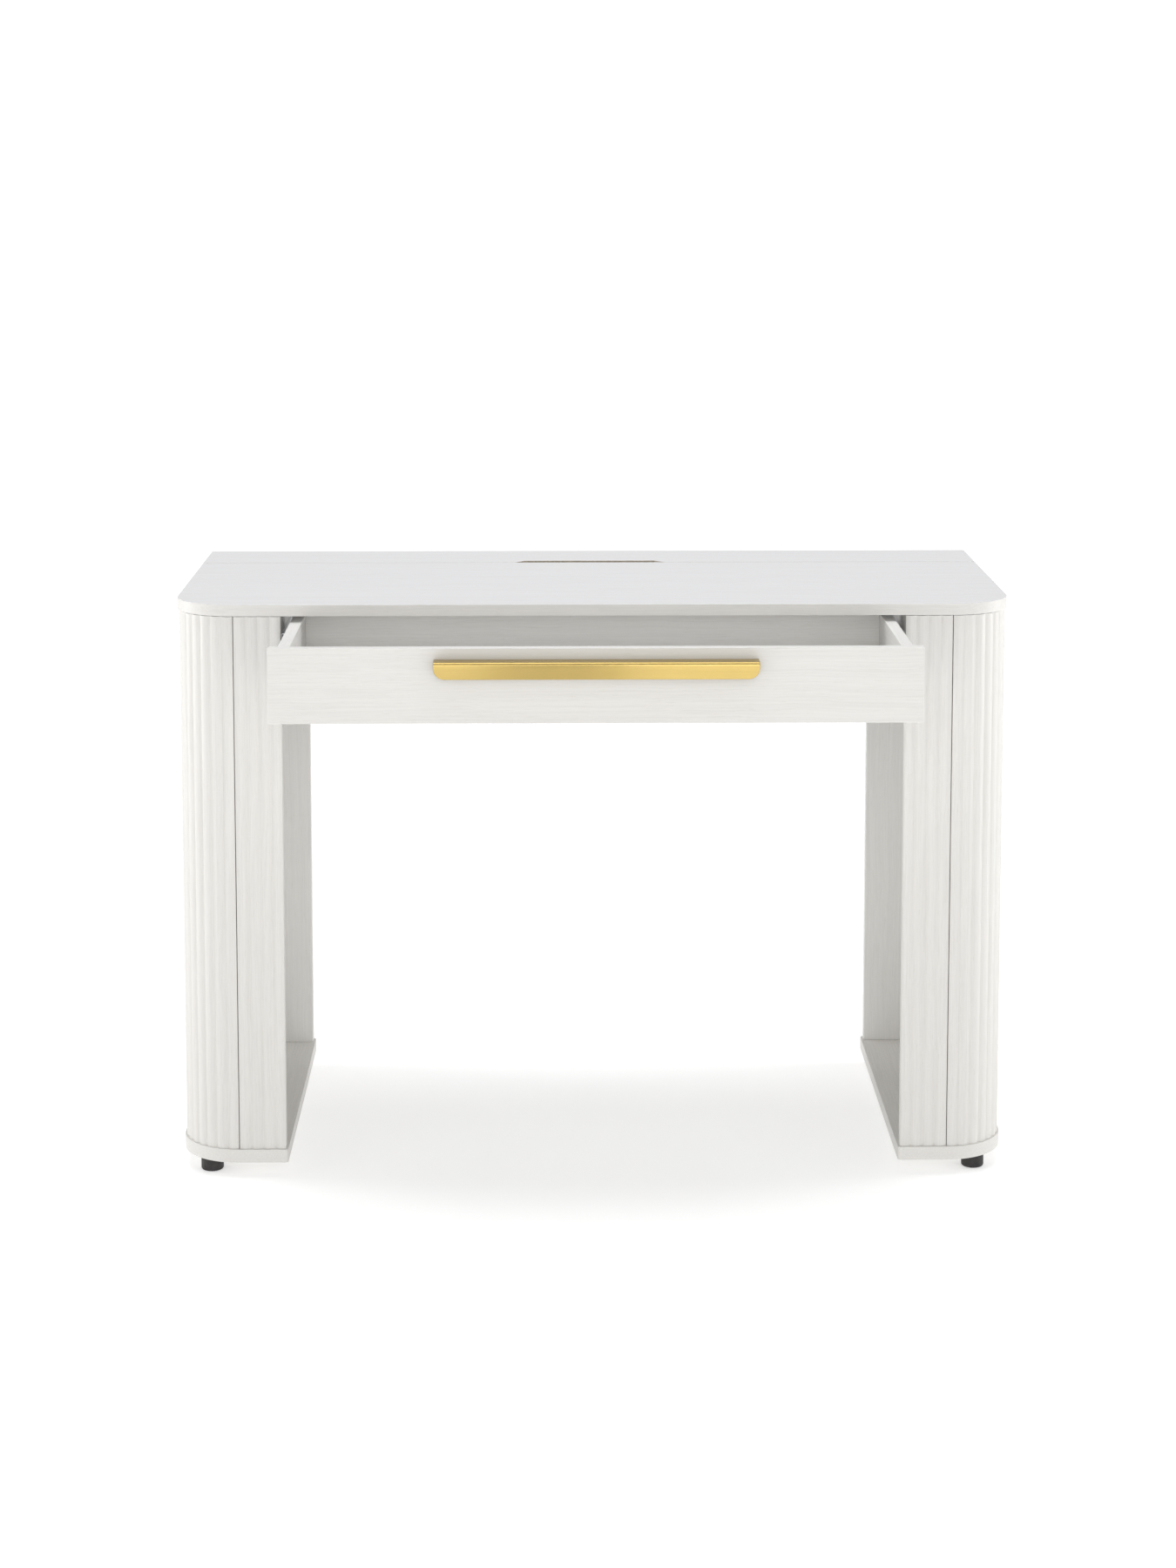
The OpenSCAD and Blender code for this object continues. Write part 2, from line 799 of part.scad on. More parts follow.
module hinge_flap_screws() {
    color(steel) for (x = hinge_x) {
        translate([0, axis_y - leaf_screw_d, under_z - leaf_t]) leaf_screws(x);
    }
}

// ---------- drawer ----------

module drawer_dowel_bores() {
    for (z = front_dowel_z) {
        rod_y(dowel_r + fit, side_out_x - board_t / 2, front_back_y - front_dowel_in - end_gap,
            front_back_y + front_dowel_back + end_gap, z);
    }
}

module bottom_groove() {
    translate([-side_in_x - groove_d, front_back_y - groove_d, bottom_z])
        cube([2 * (side_in_x + groove_d), side_l - board_t + 2 * groove_d, groove_h]);
}

module drawer_front() {
    color(white) difference() {
        board(-front_w / 2, front_w / 2, face_y, front_back_y, front_z, front_top_z);
        bottom_groove();
        both_sides() drawer_dowel_bores();
        for (x = handle_screw_x)
            rod_y(handle_screw_r + handle_screw_play, x, face_y - over, front_back_y + over, handle_screw_z);
    }
}

module drawer_side() {
    color(white) difference() {
        board(side_in_x, side_out_x, front_back_y, side_rear_y, side_z, side_top_z);
        bottom_groove();
        drawer_dowel_bores();
        for (z = corner_screw_z) {
            rod_x(corner_screw_r + 2 * fit, side_in_x - over, side_out_x, side_rear_y - board_t / 2, z);
            rod_x(corner_head_r + fit, side_out_x - corner_head_h, side_out_x + over,
                side_rear_y - board_t / 2, z);
        }
        for (dy = slide_screw_dy) {
            rod_x(screw_r + fit, side_out_x - screw_l - end_gap, side_out_x + over,
                member_rear_y + dy, slide_z);
        }
    }
}

module drawer_back() {
    color(white) difference() {
        board(-side_in_x, side_in_x, side_rear_y - board_t, side_rear_y, side_z, side_top_z);
        bottom_groove();
        both_sides() for (z = corner_screw_z) {
            rod_x(corner_screw_r + 2 * fit, side_in_x - corner_screw_in - end_gap, side_in_x + over,
                side_rear_y - board_t / 2, z);
        }
    }
}

module drawer_corner_screws() {
    color(steel) both_sides() for (z = corner_screw_z) {
        rod_x(corner_screw_r, side_in_x - corner_screw_in, side_out_x, side_rear_y - board_t / 2, z);
        rod_x(corner_head_r, side_out_x - corner_head_h, side_out_x, side_rear_y - board_t / 2, z);
    }
}

module drawer_front_dowels() {
    color(beech) both_sides() for (z = front_dowel_z) {
        rod_y(dowel_r, side_out_x - board_t / 2, front_back_y - front_dowel_in,
            front_back_y + front_dowel_back, z);
    }
}

module drawer_bottom() {
    reach = groove_d - bottom_slack;
    color(white) translate([-side_in_x - reach, front_back_y - reach, bottom_z])
        cube([2 * (side_in_x + reach), side_l - board_t + 2 * reach, bottom_t]);
}

// Section of the handle in Y and Z, measured from the drawer face and the top of the handle
module handle_section() {
    difference() {
        union() {
            translate([-handle_d + handle_bend, -lip_h]) square([handle_d - handle_bend, lip_h]);
            translate([-handle_d, -lip_h]) square([handle_d, lip_h - handle_bend]);
            translate([-handle_d + handle_bend, -handle_bend]) circle(r = handle_bend);
        }
        translate([-handle_d + handle_bend, -lip_h - over])
            square([handle_d - handle_bend - handle_t, lip_h + over - handle_t]);
        translate([-handle_d + handle_t, -lip_h - over])
            square([handle_d - 2 * handle_t, lip_h + over - handle_bend]);
        translate([-handle_d + handle_bend, -handle_bend]) circle(r = handle_bend_in);
        translate([-handle_t - over, -lip_h - over]) square([handle_t + 2 * over, lip_h + over - flange_h]);
    }
}

module handle_front_outline() {
    translate([-handle_w / 2, lip_corner - lip_h]) square([handle_w, lip_h - lip_corner]);
    translate([-handle_w / 2 + lip_corner, -lip_h]) square([handle_w - 2 * lip_corner, lip_h]);
    for (s = [-1, 1]) translate([s * (handle_w / 2 - lip_corner), lip_corner - lip_h]) circle(r = lip_corner);
}

module drawer_handle() {
    color(gold) difference() {
        intersection() {
            translate([-handle_w / 2, face_y, handle_top_z]) rotate([90, 0, 90])
                linear_extrude(handle_w) handle_section();
            translate([0, face_y + over, handle_top_z]) rotate([90, 0, 0])
                linear_extrude(handle_d + 2 * over) handle_front_outline();
        }
        for (x = handle_screw_x)
            rod_y(handle_screw_r + fit, x, face_y - handle_t - over, face_y + over, handle_screw_z);
    }
}

module handle_screws() {
    color(steel) for (x = handle_screw_x) {
        rod_y(handle_screw_r, x, face_y - handle_t + end_gap, front_back_y, handle_screw_z);
        difference() {
            rod_y(handle_head_r, x, front_back_y, front_back_y + handle_head_h, handle_screw_z);
            for (a = [0, 90]) translate([x, front_back_y + handle_head_h - recess_d, handle_screw_z])
                rotate([0, a, 0]) translate([-recess_l / 2, 0, -recess_w / 2])
                    cube([recess_l, recess_d + over, recess_w]);
        }
    }
}

// ---------- assembly ----------

tabletop();
mirror([1, 0, 0]) base_plate();  // left_base_plate
base_plate();  // right_base_plate
mirror([1, 0, 0]) side_panel();  // left_side_panel
side_panel();  // right_side_panel
mirror([1, 0, 0]) reeded_shell();  // left_reeded_shell
reeded_shell();  // right_reeded_shell
mirror([1, 0, 0]) front_stile();  // left_front_stile
front_stile();  // right_front_stile
mirror([1, 0, 0]) back_panel();  // left_back_panel
back_panel();  // right_back_panel
mirror([1, 0, 0]) corner_post();  // left_corner_post
corner_post();  // right_corner_post
mirror([1, 0, 0]) corner_ribs();  // left_corner_ribs
corner_ribs();  // right_corner_ribs
mirror([1, 0, 0]) apron();  // left_apron
apron();  // right_apron
back_rail();
trough_divider();
trough_floor();
flap_ledgers();
feet();
foot_studs();
base_screws();
top_dowels();
cam_locks();
cam_bolts();
mirror([1, 0, 0]) slide_cabinet_member();  // left_slide_cabinet_member
slide_cabinet_member();  // right_slide_cabinet_member
slide_cabinet_screws();
hinge_fixed_leaves();
hinge_pins();
hinge_fixed_screws();
flap_bumpers();
flap_board();
hinge_flap_leaves();
hinge_flap_screws();
mirror([1, 0, 0]) slide_middle_member();  // left_slide_middle_member
slide_middle_member();  // right_slide_middle_member
mirror([1, 0, 0]) slide_balls();  // left_slide_balls
slide_balls();  // right_slide_balls
drawer_front();
mirror([1, 0, 0]) drawer_side();  // drawer_left_side
drawer_side();  // drawer_right_side
drawer_back();
drawer_bottom();
drawer_handle();
handle_screws();
drawer_corner_screws();
drawer_front_dowels();
mirror([1, 0, 0]) slide_drawer_member();  // left_slide_drawer_member
slide_drawer_member();  // right_slide_drawer_member
slide_drawer_screws();
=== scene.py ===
"""Looks of the manicure table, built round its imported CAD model.

Units are metres in the table's own frame: X to the right, Y to the rear, Z up, floor at Z = 0.
"""
import json
from math import asin, atan2, ceil, cos, degrees, hypot, pi, radians, sin

import bmesh
import bpy
from mathutils import Euler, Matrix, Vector


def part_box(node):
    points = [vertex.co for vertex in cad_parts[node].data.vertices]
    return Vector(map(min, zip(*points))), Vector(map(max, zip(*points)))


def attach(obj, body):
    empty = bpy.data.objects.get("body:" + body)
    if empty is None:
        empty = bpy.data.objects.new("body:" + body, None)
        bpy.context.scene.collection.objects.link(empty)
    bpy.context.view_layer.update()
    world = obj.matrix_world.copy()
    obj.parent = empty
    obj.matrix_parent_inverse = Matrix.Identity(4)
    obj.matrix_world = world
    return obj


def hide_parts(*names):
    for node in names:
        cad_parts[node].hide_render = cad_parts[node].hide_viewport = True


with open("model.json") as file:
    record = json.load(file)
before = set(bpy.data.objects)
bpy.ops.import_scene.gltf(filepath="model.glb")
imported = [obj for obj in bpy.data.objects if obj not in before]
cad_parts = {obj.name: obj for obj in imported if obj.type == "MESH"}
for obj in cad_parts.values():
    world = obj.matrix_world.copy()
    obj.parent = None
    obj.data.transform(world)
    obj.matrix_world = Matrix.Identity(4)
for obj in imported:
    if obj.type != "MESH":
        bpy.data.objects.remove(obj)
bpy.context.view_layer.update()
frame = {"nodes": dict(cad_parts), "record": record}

MM = 0.001
SHARP_ANGLE = 32
NODES = frame["nodes"]
BODY_OF = {node: body for body, nodes in frame["record"]["behaviour"]["bodies"].items() for node in nodes}
SLOT_OF = {part["node"]: part["material_slot"] for part in frame["record"]["subparts"]}


# ---------------------------------------------------------------- node helpers

def new_material(name):
    """A material with its Principled shader, its node maker and its link maker."""
    material = bpy.data.materials.new(name)
    material.use_nodes = True
    tree = material.node_tree
    shader = tree.nodes["Principled BSDF"]

    def add(kind, **values):
        node = tree.nodes.new(kind)
        for key, value in values.items():
            if key in node.inputs:
                node.inputs[key].default_value = value
            else:
                setattr(node, key, value)
        return node

    return material, shader, add, tree.links.new


def ramp(add, link, source, stops):
    """A colour ramp over source, with (place, grey or colour) stops."""
    node = add("ShaderNodeValToRGB")
    elements = node.color_ramp.elements
    while len(elements) < len(stops):
        elements.new(0.5)
    for element, (place, colour) in zip(elements, stops):
        element.position = place
        element.color = (*colour, 1) if isinstance(colour, tuple) else (colour, colour, colour, 1)
    link(source, node.inputs["Fac"])
    return node.outputs["Color"]


def mix(add, link, kind, fac, a, b):
    """A colour mix of kind; fac, a and b are sockets or plain values."""
    node = add("ShaderNodeMix", data_type="RGBA", blend_type=kind)
    for socket, value in ((node.inputs[0], fac), (node.inputs[6], a), (node.inputs[7], b)):
        if hasattr(value, "links"):
            link(value, socket)
        elif isinstance(value, tuple):
            socket.default_value = (*value, 1)
        else:
            socket.default_value = value
    return node.outputs[2]


def stretched(add, link, along, scale_along, scale_across, warp=None):
    """Object coordinates scaled for grain along an axis, with an optional warping vector added."""
    coords = add("ShaderNodeTexCoord").outputs["Object"]
    if warp is not None:
        moved = add("ShaderNodeVectorMath", operation="ADD")
        link(coords, moved.inputs[0])
        link(warp, moved.inputs[1])
        coords = moved.outputs[0]
    scale = [scale_across] * 3
    scale["XYZ".index(along)] = scale_along
    mapping = add("ShaderNodeMapping", Scale=scale)
    link(coords, mapping.inputs["Vector"])
    return mapping.outputs[0]


def bump(add, link, height, strength, distance):
    """A bump node of that strength and depth in metres."""
    node = add("ShaderNodeBump", Strength=strength, Distance=distance)
    link(height, node.inputs["Height"])
    return node.outputs["Normal"]


# ---------------------------------------------------------------- materials

def edge_mask(add, link, radius):
    """White on edges sharper than the radius, broken up by noise: lighter edges that are partly wear and
    partly painted highlight.
    """
    rounded = add("ShaderNodeBevel", samples=4, Radius=radius)
    geometry = add("ShaderNodeNewGeometry")
    dot = add("ShaderNodeVectorMath", operation="DOT_PRODUCT")
    link(rounded.outputs["Normal"], dot.inputs[0])
    link(geometry.outputs["Normal"], dot.inputs[1])
    edges = ramp(add, link, dot.outputs["Value"], [(0.80, 1.0), (0.97, 0.0)])
    patches = add("ShaderNodeTexNoise", Scale=38.0, Detail=4.0, Roughness=0.7)
    link(add("ShaderNodeTexCoord").outputs["Object"], patches.inputs["Vector"])
    breaks = ramp(add, link, patches.outputs["Fac"], [(0.38, 0.25), (0.68, 1.0)])
    return mix(add, link, "MULTIPLY", 1.0, edges, breaks)


def laminate(name, along, light, dark, seed=0.0):
    """Off-white wood-grain laminate: a nearly straight figure, fine streaks and pores along one axis."""
    material, shader, add, link = new_material(name)
    plain = add("ShaderNodeTexCoord").outputs["Object"]
    shift = add("ShaderNodeMapping", Location=(seed, 0.37 * seed, 0.61 * seed))
    link(plain, shift.inputs["Vector"])
    wander = add("ShaderNodeTexNoise", Scale=7.0, Detail=2.0)
    link(shift.outputs[0], wander.inputs["Vector"])
    centred = add("ShaderNodeVectorMath", operation="SUBTRACT")
    link(wander.outputs["Color"], centred.inputs[0])
    centred.inputs[1].default_value = (0.5, 0.5, 0.5)
    warp = add("ShaderNodeVectorMath", operation="SCALE", Scale=0.010)
    link(centred.outputs[0], warp.inputs[0])
    warp = warp.outputs[0]

    figure = add("ShaderNodeTexNoise", Scale=1.0, Detail=3.0, Roughness=0.55)
    link(stretched(add, link, along, 2.0, 60.0, warp), figure.inputs["Vector"])
    rings = add("ShaderNodeTexNoise", Scale=1.0, Detail=4.0, Roughness=0.7)
    link(stretched(add, link, along, 4.5, 420.0, warp), rings.inputs["Vector"])
    pores = add("ShaderNodeTexNoise", Scale=1.0, Detail=2.0, Roughness=0.5)
    link(stretched(add, link, along, 60.0, 1500.0, warp), pores.inputs["Vector"])

    broad = ramp(add, link, figure.outputs["Fac"], [(0.34, 0.0), (0.66, 1.0)])
    fine = ramp(add, link, rings.outputs["Fac"], [(0.38, 0.0), (0.60, 1.0)])
    pore = ramp(add, link, pores.outputs["Fac"], [(0.30, 1.0), (0.42, 0.0)])
    tone = mix(add, link, "MIX", 0.78, broad, fine)
    colour = mix(add, link, "MIX", tone, dark, light)
    pored = mix(add, link, "MULTIPLY", pore, colour, (0.95, 0.94, 0.925))
    # Edges lightened: partly wear, partly painted highlight.
    worn_and_highlit = mix(add, link, "MIX", edge_mask(add, link, 0.9 * MM), pored, (0.87, 0.865, 0.85))
    link(worn_and_highlit, shader.inputs["Base Color"])

    link(ramp(add, link, rings.outputs["Fac"], [(0.30, 0.52), (0.70, 0.42)]), shader.inputs["Roughness"])
    relief = mix(add, link, "SUBTRACT", 0.5, fine, pore)
    link(bump(add, link, relief, 0.12, 0.03 * MM), shader.inputs["Normal"])
    shader.inputs["Specular IOR Level"].default_value = 0.42
    return material


def raw_board(name):
    """Unfaced particle board: pressed chips of several browns, matt and slightly open."""
    material, shader, add, link = new_material(name)
    coords = add("ShaderNodeTexCoord").outputs["Object"]
    chips = add("ShaderNodeTexVoronoi", Scale=420.0, Randomness=1.0)
    link(coords, chips.inputs["Vector"])
    blotch = add("ShaderNodeTexNoise", Scale=60.0, Detail=3.0)
    link(coords, blotch.inputs["Vector"])
    browns = [(0.1, (0.50, 0.43, 0.33)), (0.9, (0.68, 0.62, 0.52))]
    chip_tone = ramp(add, link, chips.outputs["Color"], browns)
    tone = ramp(add, link, blotch.outputs["Fac"], [(0.3, 0.88), (0.7, 1.0)])
    board = mix(add, link, "MULTIPLY", 1.0, chip_tone, tone)
    # Edges lightened: partly wear, partly painted highlight.
    worn_and_highlit = mix(add, link, "MIX", edge_mask(add, link, 0.8 * MM), board, (0.74, 0.69, 0.60))
    link(worn_and_highlit, shader.inputs["Base Color"])
    rough = ramp(add, link, blotch.outputs["Fac"], [(0.3, 0.82), (0.7, 0.68)])
    link(rough, shader.inputs["Roughness"])
    link(bump(add, link, chips.outputs["Distance"], 0.35, 0.15 * MM), shader.inputs["Normal"])
    return material


def brushed_gold():
    """Champagne-gold aluminium, brushed along its length, so that highlights stretch across it."""
    material, shader, add, link = new_material("brushed_gold")
    streaks = add("ShaderNodeTexNoise", Scale=1.0, Detail=5.0, Roughness=0.7)
    link(stretched(add, link, "X", 9.0, 3600.0), streaks.inputs["Vector"])
    cloud = add("ShaderNodeTexNoise", Scale=34.0, Detail=2.0)
    link(add("ShaderNodeTexCoord").outputs["Object"], cloud.inputs["Vector"])
    golds = [(0.30, (0.415, 0.300, 0.098)), (0.70, (0.490, 0.365, 0.135))]
    tone = ramp(add, link, streaks.outputs["Fac"], golds)
    tint = ramp(add, link, cloud.outputs["Fac"], [(0.3, 0.97), (0.7, 1.0)])
    clouded = mix(add, link, "MULTIPLY", 1.0, tone, tint)
    # Edges lightened to a paler gold: partly wear, partly painted highlight.
    worn_and_highlit = mix(add, link, "MIX", edge_mask(add, link, 0.4 * MM), clouded, (0.80, 0.66, 0.34))
    link(worn_and_highlit, shader.inputs["Base Color"])
    link(ramp(add, link, streaks.outputs["Fac"], [(0.25, 0.21), (0.75, 0.17)]), shader.inputs["Roughness"])
    link(bump(add, link, streaks.outputs["Fac"], 0.15, 0.02 * MM), shader.inputs["Normal"])
    brushing = add("ShaderNodeCombineXYZ", X=1.0)
    link(brushing.outputs[0], shader.inputs["Tangent"])
    shader.inputs["Metallic"].default_value = 1.0
    shader.inputs["Anisotropic"].default_value = 1.0
    shader.inputs["Anisotropic Rotation"].default_value = 0.25
    return material


def moulded_plastic(name, colour, rough):
    """Matt moulded plastic or rubber with a fine spark-eroded grain."""
    material, shader, add, link = new_material(name)
    coords = add("ShaderNodeTexCoord").outputs["Object"]
    grain = add("ShaderNodeTexNoise", Scale=1900.0, Detail=2.0)
    link(coords, grain.inputs["Vector"])
    scuff = add("ShaderNodeTexNoise", Scale=70.0, Detail=4.0, Roughness=0.6)
    link(coords, scuff.inputs["Vector"])
    lifted = tuple(min(1.0, 1.9 * c + 0.006) for c in colour)
    tone = ramp(add, link, scuff.outputs["Fac"], [(0.42, colour), (0.82, lifted)])
    # Edges lightened: partly wear, partly painted highlight.
    worn_and_highlit = mix(add, link, "MIX", edge_mask(add, link, 0.6 * MM), tone, lifted)
    link(worn_and_highlit, shader.inputs["Base Color"])
    polish = ramp(add, link, scuff.outputs["Fac"], [(0.3, rough), (0.8, rough - 0.14)])
    link(polish, shader.inputs["Roughness"])
    link(bump(add, link, grain.outputs["Fac"], 0.35, 0.05 * MM), shader.inputs["Normal"])
    return material


def zinc_plate():
    """Bright zinc plate on rolled steel, with faint rolling streaks along Y and a cloudy bloom."""
    material, shader, add, link = new_material("zinc_plate")
    streaks = add("ShaderNodeTexNoise", Scale=1.0, Detail=4.0, Roughness=0.65)
    link(stretched(add, link, "Y", 14.0, 1700.0), streaks.inputs["Vector"])
    cloud = add("ShaderNodeTexNoise", Scale=85.0, Detail=3.0)
    link(add("ShaderNodeTexCoord").outputs["Object"], cloud.inputs["Vector"])
    greys = [(0.3, (0.60, 0.62, 0.65)), (0.7, (0.74, 0.75, 0.76))]
    tone = ramp(add, link, cloud.outputs["Fac"], greys)
    # Edges lightened: partly wear, partly painted highlight.
    worn_and_highlit = mix(add, link, "MIX", edge_mask(add, link, 0.4 * MM), tone, (0.86, 0.86, 0.86))
    link(worn_and_highlit, shader.inputs["Base Color"])
    link(ramp(add, link, streaks.outputs["Fac"], [(0.3, 0.42), (0.7, 0.27)]), shader.inputs["Roughness"])
    link(bump(add, link, streaks.outputs["Fac"], 0.18, 0.03 * MM), shader.inputs["Normal"])
    shader.inputs["Metallic"].default_value = 1.0
    return material


def beech():
    """Turned beech with short dark flecks along the dowel."""
    material, shader, add, link = new_material("beech")
    grain = add("ShaderNodeTexNoise", Scale=1.0, Detail=3.0)
    link(stretched(add, link, "Z", 60.0, 900.0), grain.inputs["Vector"])
    tone = ramp(add, link, grain.outputs["Fac"], [(0.3, (0.46, 0.30, 0.16)), (0.6, (0.70, 0.52, 0.32))])
    link(tone, shader.inputs["Base Color"])
    link(ramp(add, link, grain.outputs["Fac"], [(0.3, 0.7), (0.7, 0.55)]), shader.inputs["Roughness"])
    link(bump(add, link, grain.outputs["Fac"], 0.3, 0.05 * MM), shader.inputs["Normal"])
    return material


WARM_LIGHT = (0.750, 0.736, 0.704)
WARM_DARK = (0.702, 0.688, 0.656)
# Inner tone: the same laminate painted lighter, painted light that lifts the shade on inner boards and
# drawer parts.
SHADE_LIFTED_LIGHT = (0.840, 0.832, 0.808)
SHADE_LIFTED_DARK = (0.790, 0.780, 0.756)
# Top and flap tone: the same laminate painted lighter and cooler, light from above painted in.
SKYLIT_LIGHT = (0.800, 0.798, 0.800)
SKYLIT_DARK = (0.762, 0.758, 0.760)
MATERIALS = {
    "top": laminate("laminate_top", "X", SKYLIT_LIGHT, SKYLIT_DARK, 1.3),
    "across": laminate("laminate_across", "X", WARM_LIGHT, WARM_DARK, 4.1),
    "upright": laminate("laminate_upright", "Z", WARM_LIGHT, WARM_DARK, 7.7),
    "deep": laminate("laminate_deep", "Y", WARM_LIGHT, WARM_DARK, 2.9),
    "inner_lifted_across": laminate("laminate_inner_across", "X", SHADE_LIFTED_LIGHT, SHADE_LIFTED_DARK, 5.3),
    "inner_lifted_deep": laminate("laminate_inner_deep", "Y", SHADE_LIFTED_LIGHT, SHADE_LIFTED_DARK, 3.1),
    "inner_lifted_upright": laminate("laminate_inner_upright", "Z", SHADE_LIFTED_LIGHT, SHADE_LIFTED_DARK, 6.7),
    "board": raw_board("particle_board"),
    "gold": brushed_gold(),
    "black_plastic": moulded_plastic("black_plastic", (0.018, 0.0165, 0.016), 0.62),
    "rubber": moulded_plastic("black_rubber", (0.022, 0.022, 0.022), 0.78),
    "zinc": zinc_plate(),
    "beech": beech(),
}
LAMINATE_GRAIN = {
    "tabletop": "top", "flap_board": "top",
    "left_base_plate": "deep", "right_base_plate": "deep",
    "left_reeded_shell": "upright", "right_reeded_shell": "upright",
    "left_front_stile": "upright", "right_front_stile": "upright",
    "left_back_panel": "inner_lifted_upright", "right_back_panel": "inner_lifted_upright",
    "left_side_panel": "inner_lifted_upright", "right_side_panel": "inner_lifted_upright",
    "left_corner_post": "inner_lifted_upright", "right_corner_post": "inner_lifted_upright",
    "left_corner_ribs": "inner_lifted_across", "right_corner_ribs": "inner_lifted_across",
    "left_apron": "inner_lifted_deep", "right_apron": "inner_lifted_deep",
    "back_rail": "inner_lifted_across", "trough_divider": "inner_lifted_across", "trough_floor": "inner_lifted_across",
    "drawer_front": "across", "drawer_back": "inner_lifted_across", "drawer_bottom": "inner_lifted_across",
    "drawer_left_side": "inner_lifted_deep", "drawer_right_side": "inner_lifted_deep",
}


# ---------------------------------------------------------------- geometry helpers

def arc(cx, cy, radius, start, end, step=3.0):
    """Points on an arc from start to end degrees, counted from +U towards +V."""
    count = max(2, ceil(abs(end - start) / step))
    angles = [radians(start + (end - start) * i / count) for i in range(count + 1)]
    return [(cx + radius * cos(a), cy + radius * sin(a)) for a in angles]


def chord_arc(a, b, rise, steps=12):
    """Points after a up to b on the arc that rises to the right of the way from a to b."""
    half = hypot(b[0] - a[0], b[1] - a[1]) / 2
    radius = (half * half + rise * rise) / (2 * rise)
    way = atan2(b[1] - a[1], b[0] - a[0])
    out = (sin(way), -cos(way))
    middle = ((a[0] + b[0]) / 2, (a[1] + b[1]) / 2)
    centre = (middle[0] - out[0] * (radius - rise), middle[1] - out[1] * (radius - rise))
    spread = asin(half / radius)
    facing = atan2(out[1], out[0])
    angles = [facing - spread + 2 * spread * i / steps for i in range(1, steps + 1)]
    return [(centre[0] + radius * cos(t), centre[1] + radius * sin(t)) for t in angles]


def prism(outline, low, high, axis="Z"):
    """A closed prism over an outline: (x, y) for axis Z, (x, z) for axis Y, (y, z) for axis X."""
    def place(u, v, w):
        return {"Z": (u, v, w), "Y": (u, w, v), "X": (w, u, v)}[axis]

    bm = bmesh.new()
    rings = [[bm.verts.new(place(u, v, w)) for u, v in outline] for w in (low, high)]
    count = len(outline)
    for i in range(count):
        j = (i + 1) % count
        bm.faces.new((rings[0][i], rings[0][j], rings[1][j], rings[1][i]))
    bm.faces.new(rings[0][::-1])
    bm.faces.new(rings[1])
    bmesh.ops.recalc_face_normals(bm, faces=bm.faces)
    return bm


def finish_piece(name, bm, materials, nodes, edge, segments=3):
    """Makes the piece from bm, rides it on its nodes' body and hides those CAD nodes."""
    mesh = bpy.data.meshes.new(name)
    bm.to_mesh(mesh)
    bm.free()
    piece = bpy.data.objects.new(name, mesh)
    bpy.context.scene.collection.objects.link(piece)
    for material in materials:
        mesh.materials.append(MATERIALS[material])
    mesh.polygons.foreach_set("use_smooth", [True] * len(mesh.polygons))
    ease(piece, edge, segments)
    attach(piece, BODY_OF[nodes[0]])
    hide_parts(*nodes)
    return piece


def ease(piece, edge, segments=3):
    """Rounds the sharp edges of a piece by edge metres."""
    bevel = piece.modifiers.new("eased_edges", "BEVEL")
    bevel.width = edge
    bevel.segments = segments
    bevel.limit_method = "ANGLE"
    bevel.angle_limit = radians(SHARP_ANGLE)
    bevel.harden_normals = True
    bevel.use_clamp_overlap = False


def mirrored(outline, side):
    """The outline for the right side, or its mirror image for side -1."""
    return [(side * u, v) for u, v in outline]


# ---------------------------------------------------------------- driving places, from the frame

TOP_LO, TOP_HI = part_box("tabletop")
FLAP_LO, FLAP_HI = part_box("flap_board")
STILE_LO, STILE_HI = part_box("right_front_stile")
SHELL_LO, SHELL_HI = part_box("right_reeded_shell")
FRONT_LO, FRONT_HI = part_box("drawer_front")
HANDLE_LO, HANDLE_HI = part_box("drawer_handle")
CORNER_R = 80 * MM
SEAM_HALF = SHELL_LO.x - (TOP_HI.x - CORNER_R)
CORNER = (TOP_HI.x - CORNER_R, TOP_LO.y + CORNER_R)
REED_PITCH = 16 * MM
REED_H = 2.0 * MM
SKIN_T = 8 * MM
BOARD_EDGE = 0.5 * MM
FLAP_EDGE = 0.4 * MM
REED_EDGE = 0.35 * MM
HANDLE_EDGE = 0.45 * MM
FOOT_EDGE = 0.4 * MM
CREST_R = SHELL_HI.x - CORNER[0]
VALLEY_R = CREST_R - REED_H
SKIN_IN_R = CREST_R - SKIN_T


# ---------------------------------------------------------------- pieces

def band_edges(bm, axis, painted_shade_at=None):
    """Puts the second material on the faces round a board, and the third, dark particle board painted in
    as shade, where the given test says so.
    """
    for face in bm.faces:
        if abs(face.normal["XYZ".index(axis)]) < 0.5:
            face.material_index = 2 if painted_shade_at and painted_shade_at(face.calc_center_median()) else 1
    return bm


def tabletop():
    """Top with two large round front corners, edged all round but for its rear edge, which takes dark
    particle board, painted shade in the seam to the flap.
    """
    def at_rear(centre):
        return centre.y > TOP_HI.y - 0.1 * MM

    outline = arc(CORNER[0], CORNER[1], CORNER_R, -90, 0, 2.0)
    ear = 1.2 * MM
    outline += arc(TOP_HI.x - ear, TOP_HI.y - ear, ear, 0, 90, 15)
    outline += [(-u, v) for u, v in reversed(outline)]
    bm = band_edges(prism(outline, TOP_LO.z, TOP_HI.z), "Z", at_rear)
    finish_piece("worktop_board", bm, ["top", "across", "board"], ["tabletop"], BOARD_EDGE)


